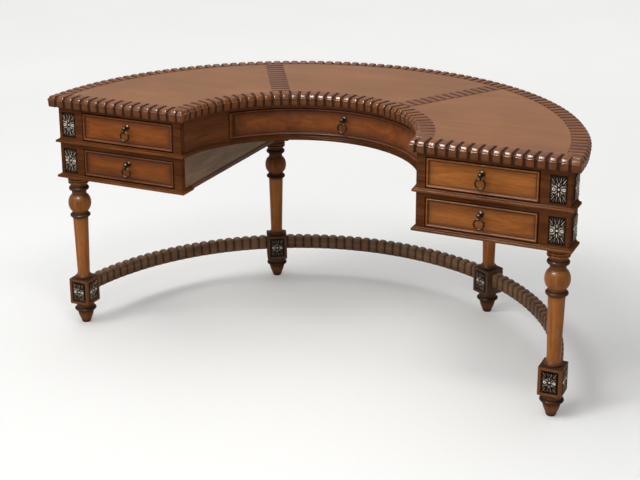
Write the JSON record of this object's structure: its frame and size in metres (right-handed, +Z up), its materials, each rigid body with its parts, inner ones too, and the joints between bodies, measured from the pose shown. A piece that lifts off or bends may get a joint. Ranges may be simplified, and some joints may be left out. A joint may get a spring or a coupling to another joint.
{
  "type": "demilune desk",
  "caption": "Demilune desk: crescent top with ribbed edge and inset panels, drawer pedestals, curved knee drawer, ring pulls, turned legs and curved ribbed stretchers.",
  "frame": {"origin": "on the floor, at the middle of the desk's width and depth", "axes": "+X along the straight front to the user's right, +Y from the user's side to the curved back, +Z up"},
  "size_m": [1.676, 0.8386, 0.762],
  "materials": {
    "frame_wood": "polished red-brown case wood",
    "front_wood": "polished orange-brown drawer fronts",
    "panel_wood": "satin tan-brown panels",
    "edge_wood": "polished dark red-brown ribbed edge",
    "leg_wood": "polished brown turned wood",
    "dark_wood": "dark satin wood",
    "inside_wood": "plain pale wood inside",
    "antique_brass": "darkened brass"
  },
  "bodies": {
    "desk": {"top_board": "inside_wood", "panel_left": "panel_wood", "panel_center": "panel_wood", "panel_right": "panel_wood", "divider_left": "edge_wood", "divider_right": "edge_wood", "edge_outer": "edge_wood", "edge_inner": "edge_wood", "edge_front_left": "edge_wood", "edge_front_right": "edge_wood", "outer_apron": "frame_wood", "knee_apron_left": "dark_wood", "knee_apron_right": "dark_wood", "knee_rail": "dark_wood", "tier_board": "inside_wood", "waist_molding": "frame_wood", "face_frame_left": "frame_wood", "face_frame_right": "frame_wood", "inner_wall_left": "dark_wood", "inner_wall_right": "dark_wood", "outer_side_left": "frame_wood", "outer_side_right": "frame_wood", "rear_post_left": "dark_wood", "rear_post_right": "dark_wood", "bottom_board_left": "inside_wood", "bottom_board_right": "inside_wood", "base_molding_left": "frame_wood", "base_molding_right": "frame_wood", "leg_front_left": "leg_wood", "leg_front_right": "leg_wood", "leg_rear_left": "leg_wood", "leg_rear_right": "leg_wood", "stretcher_left": "dark_wood", "stretcher_rear": "dark_wood", "stretcher_right": "dark_wood"},
    "upper_left_drawer": {"upper_left_drawer_front": "front_wood", "upper_left_drawer_frame": "inside_wood", "upper_left_drawer_bottom": "inside_wood", "upper_left_pull_post": "antique_brass"},
    "lower_left_drawer": {"lower_left_drawer_front": "front_wood", "lower_left_drawer_frame": "inside_wood", "lower_left_drawer_bottom": "inside_wood", "lower_left_pull_post": "antique_brass"},
    "center_drawer": {"center_drawer_front": "front_wood", "center_drawer_frame": "inside_wood", "center_drawer_bottom": "inside_wood", "center_pull_post": "antique_brass"},
    "upper_right_drawer": {"upper_right_drawer_front": "front_wood", "upper_right_drawer_frame": "inside_wood", "upper_right_drawer_bottom": "inside_wood", "upper_right_pull_post": "antique_brass"},
    "lower_right_drawer": {"lower_right_drawer_front": "front_wood", "lower_right_drawer_frame": "inside_wood", "lower_right_drawer_bottom": "inside_wood", "lower_right_pull_post": "antique_brass"},
    "upper_left_ring": {"upper_left_pull_ring": "antique_brass"},
    "lower_left_ring": {"lower_left_pull_ring": "antique_brass"},
    "center_ring": {"center_pull_ring": "antique_brass"},
    "upper_right_ring": {"upper_right_pull_ring": "antique_brass"},
    "lower_right_ring": {"lower_right_pull_ring": "antique_brass"}
  },
  "joints": [
    {"name": "upper_left_slide", "type": "slide", "parent": "desk", "child": "upper_left_drawer", "axis": [0, -1, 0], "range_m": [0, 0.185]},
    {"name": "lower_left_slide", "type": "slide", "parent": "desk", "child": "lower_left_drawer", "axis": [0, -1, 0], "range_m": [0, 0.185]},
    {"name": "center_slide", "type": "slide", "parent": "desk", "child": "center_drawer", "axis": [0, -1, 0], "range_m": [0, 0.22]},
    {"name": "upper_right_slide", "type": "slide", "parent": "desk", "child": "upper_right_drawer", "axis": [0, -1, 0], "range_m": [0, 0.185]},
    {"name": "lower_right_slide", "type": "slide", "parent": "desk", "child": "lower_right_drawer", "axis": [0, -1, 0], "range_m": [0, 0.185]},
    {"name": "upper_left_ring_swing", "type": "hinge", "parent": "upper_left_drawer", "child": "upper_left_ring", "pos_m": [-0.56246, -0.4123, 0.6761], "axis": [-1, 0, 0], "range_deg": [-20, 95]},
    {"name": "lower_left_ring_swing", "type": "hinge", "parent": "lower_left_drawer", "child": "lower_left_ring", "pos_m": [-0.56246, -0.4123, 0.5609], "axis": [-1, 0, 0], "range_deg": [-20, 95]},
    {"name": "center_ring_swing", "type": "hinge", "parent": "center_drawer", "child": "center_ring", "pos_m": [0, -0.0582, 0.6761], "axis": [-1, 0, 0], "range_deg": [-20, 95]},
    {"name": "upper_right_ring_swing", "type": "hinge", "parent": "upper_right_drawer", "child": "upper_right_ring", "pos_m": [0.56246, -0.4123, 0.6761], "axis": [-1, 0, 0], "range_deg": [-20, 95]},
    {"name": "lower_right_ring_swing", "type": "hinge", "parent": "lower_right_drawer", "child": "lower_right_ring", "pos_m": [0.56246, -0.4123, 0.5609], "axis": [-1, 0, 0], "range_deg": [-20, 95]}
  ]
}
